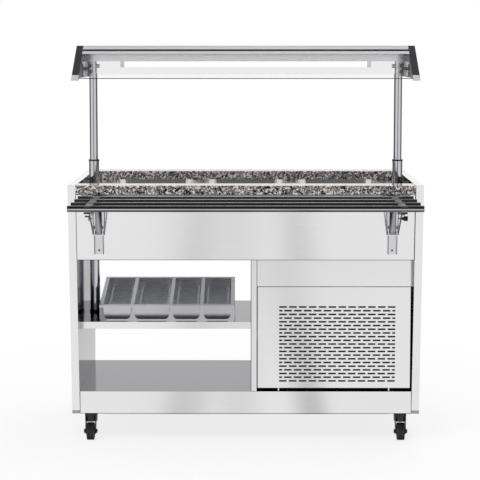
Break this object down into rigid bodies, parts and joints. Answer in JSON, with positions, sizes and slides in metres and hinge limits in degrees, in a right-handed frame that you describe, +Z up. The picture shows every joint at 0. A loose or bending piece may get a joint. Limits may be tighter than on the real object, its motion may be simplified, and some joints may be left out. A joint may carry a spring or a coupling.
{
  "type": "mobile refrigerated salad bar",
  "caption": "Mobile stainless refrigerated salad bar: food-pan well between stone rails, lit glass canopy on telescopic posts, open shelf bay, machine bay and folding tray slide.",
  "frame": {"origin": "on the floor, under the middle of the whole object's bounding box, tray slide included", "axes": "+Z up, +X to the right as a guest facing the bar sees it, -Y towards the guest and the tray slide"},
  "size_m": [1.18, 1.0978, 1.343],
  "materials": {
    "panel_steel": "fine brushed",
    "satin_steel": "satin",
    "bright_steel": "polished tube",
    "canopy_alu": "satin anodised",
    "fin_alu": "mill",
    "stone": "polished speckled",
    "end_plastic": "pebbled charcoal",
    "shoe_plastic": "satin grey",
    "black_plastic": "satin black",
    "black_metal": "satin black",
    "gasket": "matt",
    "pane": "clear",
    "lamp": "lit warm white",
    "wheel_rubber": "matt",
    "knob_plastic": "grey",
    "rocker_plastic": "translucent red",
    "foam": "foam"
  },
  "bodies": {
    "cabinet": {"left_side_panel": "panel_steel", "right_side_panel": "panel_steel", "side_panel_shoes": "shoe_plastic", "deck": "panel_steel", "mid_shelf": "panel_steel", "divider": "panel_steel", "front_apron": "panel_steel", "rear_apron": "panel_steel", "bay_ceiling": "panel_steel", "machine_upper_panel": "panel_steel", "rear_service_panel": "panel_steel", "well_liner": "satin_steel", "well_insulation": "foam", "pan_bars": "satin_steel", "stone_rails": "stone", "post_sleeves": "bright_steel", "post_guide_rings": "black_plastic", "sleeve_feet": "black_plastic", "compressor": "black_metal", "condenser": "black_metal", "fan_motor": "black_metal", "drain_pipe": "bright_steel", "mains_inlet": "black_plastic", "control_panel": "black_plastic", "caster_plates": "black_metal", "tray_wall_brackets": "satin_steel"},
    "canopy": {"canopy_end_plates": "end_plastic", "canopy_corner_blocks": "canopy_alu", "canopy_top_panel": "canopy_alu", "canopy_top_profiles": "canopy_alu", "canopy_gaskets": "gasket", "front_glass": "pane", "rear_glass": "pane", "lamp_housing": "satin_steel", "lamp_tube": "lamp", "canopy_posts": "bright_steel"},
    "tray_slide": {"tray_tubes": "bright_steel", "tray_arms": "satin_steel"},
    "grille_panel_body": {"grille_panel": "panel_steel"},
    "thermostat_knob_body": {"thermostat_knob": "knob_plastic"},
    "mains_switch_body": {"mains_switch": "rocker_plastic"},
    "left_wing_screw_body": {"left_wing_screw": "black_plastic"},
    "right_wing_screw_body": {"right_wing_screw": "black_plastic"},
    "left_tray_stay_body": {"left_tray_stay": "bright_steel"},
    "right_tray_stay_body": {"right_tray_stay": "bright_steel"},
    "left_latch_body": {"left_latch": "satin_steel"},
    "right_latch_body": {"right_latch": "black_plastic"},
    "condenser_fan_body": {"condenser_fan": "fin_alu"},
    "cutlery_insert_body": {"cutlery_insert": "satin_steel"},
    "food_pan_left_body": {"food_pan_left": "satin_steel"},
    "food_pan_middle_body": {"food_pan_middle": "satin_steel"},
    "food_pan_right_body": {"food_pan_right": "satin_steel"},
    "caster_fork_fl_body": {"caster_fork_fl": "black_metal"},
    "caster_wheel_fl_body": {"caster_wheel_fl": "wheel_rubber"},
    "caster_fork_fr_body": {"caster_fork_fr": "black_metal"},
    "caster_wheel_fr_body": {"caster_wheel_fr": "wheel_rubber"},
    "caster_fork_bl_body": {"caster_fork_bl": "black_metal"},
    "caster_wheel_bl_body": {"caster_wheel_bl": "wheel_rubber"},
    "caster_fork_br_body": {"caster_fork_br": "black_metal"},
    "caster_wheel_br_body": {"caster_wheel_br": "wheel_rubber"}
  },
  "joints": [
    {"name": "canopy_lift", "type": "slide", "parent": "cabinet", "child": "canopy", "axis": [0, 0, 1], "range_m": [-0.285, 0]},
    {"name": "left_wing_screw_turn", "type": "hinge", "parent": "canopy", "child": "left_wing_screw_body", "pos_m": [-0.549, 0.06392, 1.262], "axis": [1, 0, 0], "continuous": true},
    {"name": "right_wing_screw_turn", "type": "hinge", "parent": "canopy", "child": "right_wing_screw_body", "pos_m": [0.549, 0.06392, 1.262], "axis": [1, 0, 0], "continuous": true},
    {"name": "tray_fold", "type": "hinge", "parent": "cabinet", "child": "tray_slide", "pos_m": [0, -0.1838, 0.84], "axis": [1, 0, 0], "range_deg": [0, 90]},
    {"name": "left_stay_fold", "type": "hinge", "parent": "cabinet", "child": "left_tray_stay_body", "pos_m": [-0.488, -0.16279, 0.722], "axis": [1, 0, 0], "range_deg": [0, 139.3]},
    {"name": "right_stay_fold", "type": "hinge", "parent": "cabinet", "child": "right_tray_stay_body", "pos_m": [0.488, -0.16279, 0.722], "axis": [1, 0, 0], "range_deg": [0, 139.3]},
    {"name": "left_latch_pull", "type": "slide", "parent": "left_tray_stay_body", "child": "left_latch_body", "axis": [-1, 0, 0], "range_m": [0, 0.006], "stiffness_N_per_m": 300},
    {"name": "right_latch_pull", "type": "slide", "parent": "right_tray_stay_body", "child": "right_latch_body", "axis": [1, 0, 0], "range_m": [0, 0.006], "stiffness_N_per_m": 300},
    {"name": "grille_lift_off", "type": "slide", "parent": "cabinet", "child": "grille_panel_body", "axis": [0, -1, 0], "range_m": [0, 0.07]},
    {"name": "thermostat_turn", "type": "hinge", "parent": "cabinet", "child": "thermostat_knob_body", "pos_m": [0.412, 0.53091, 0.705], "axis": [0, 0.9949, -0.1013], "range_deg": [0, 300]},
    {"name": "mains_switch_rock", "type": "hinge", "parent": "cabinet", "child": "mains_switch_body", "pos_m": [0.49, 0.52792, 0.7053], "axis": [1, 0, 0], "range_deg": [-16, 0]},
    {"name": "fan_spin", "type": "hinge", "parent": "cabinet", "child": "condenser_fan_body", "pos_m": [0.3105, 0.03092, 0.313], "axis": [0, 1, 0], "continuous": true},
    {"name": "cutlery_insert_slide", "type": "slide", "parent": "cabinet", "child": "cutlery_insert_body", "axis": [0, -1, 0], "range_m": [0, 0.14]},
    {"name": "food_pan_left_lift", "type": "slide", "parent": "cabinet", "child": "food_pan_left_body", "axis": [0, 0, 1], "range_m": [0, 0.15]},
    {"name": "food_pan_middle_lift", "type": "slide", "parent": "cabinet", "child": "food_pan_middle_body", "axis": [0, 0, 1], "range_m": [0, 0.15]},
    {"name": "food_pan_right_lift", "type": "slide", "parent": "cabinet", "child": "food_pan_right_body", "axis": [0, 0, 1], "range_m": [0, 0.15]},
    {"name": "caster_fl_swivel", "type": "hinge", "parent": "cabinet", "child": "caster_fork_fl_body", "pos_m": [-0.53, -0.04608, 0.088], "axis": [0, 0, 1], "continuous": true},
    {"name": "caster_fl_roll", "type": "hinge", "parent": "caster_fork_fl_body", "child": "caster_wheel_fl_body", "pos_m": [-0.53, -0.06808, 0.03], "axis": [1, 0, 0], "continuous": true},
    {"name": "caster_fr_swivel", "type": "hinge", "parent": "cabinet", "child": "caster_fork_fr_body", "pos_m": [0.53, -0.04608, 0.088], "axis": [0, 0, 1], "continuous": true},
    {"name": "caster_fr_roll", "type": "hinge", "parent": "caster_fork_fr_body", "child": "caster_wheel_fr_body", "pos_m": [0.53, -0.06808, 0.03], "axis": [1, 0, 0], "continuous": true},
    {"name": "caster_bl_swivel", "type": "hinge", "parent": "cabinet", "child": "caster_fork_bl_body", "pos_m": [-0.53, 0.42392, 0.088], "axis": [0, 0, 1], "continuous": true},
    {"name": "caster_bl_roll", "type": "hinge", "parent": "caster_fork_bl_body", "child": "caster_wheel_bl_body", "pos_m": [-0.53, 0.40192, 0.03], "axis": [1, 0, 0], "continuous": true},
    {"name": "caster_br_swivel", "type": "hinge", "parent": "cabinet", "child": "caster_fork_br_body", "pos_m": [0.53, 0.42392, 0.088], "axis": [0, 0, 1], "continuous": true},
    {"name": "caster_br_roll", "type": "hinge", "parent": "caster_fork_br_body", "child": "caster_wheel_br_body", "pos_m": [0.53, 0.40192, 0.03], "axis": [1, 0, 0], "continuous": true}
  ],
  "couplings": [
    {"joint": "left_stay_fold", "follows": "tray_fold", "ratio": 1.547},
    {"joint": "right_stay_fold", "follows": "tray_fold", "ratio": 1.547}
  ]
}
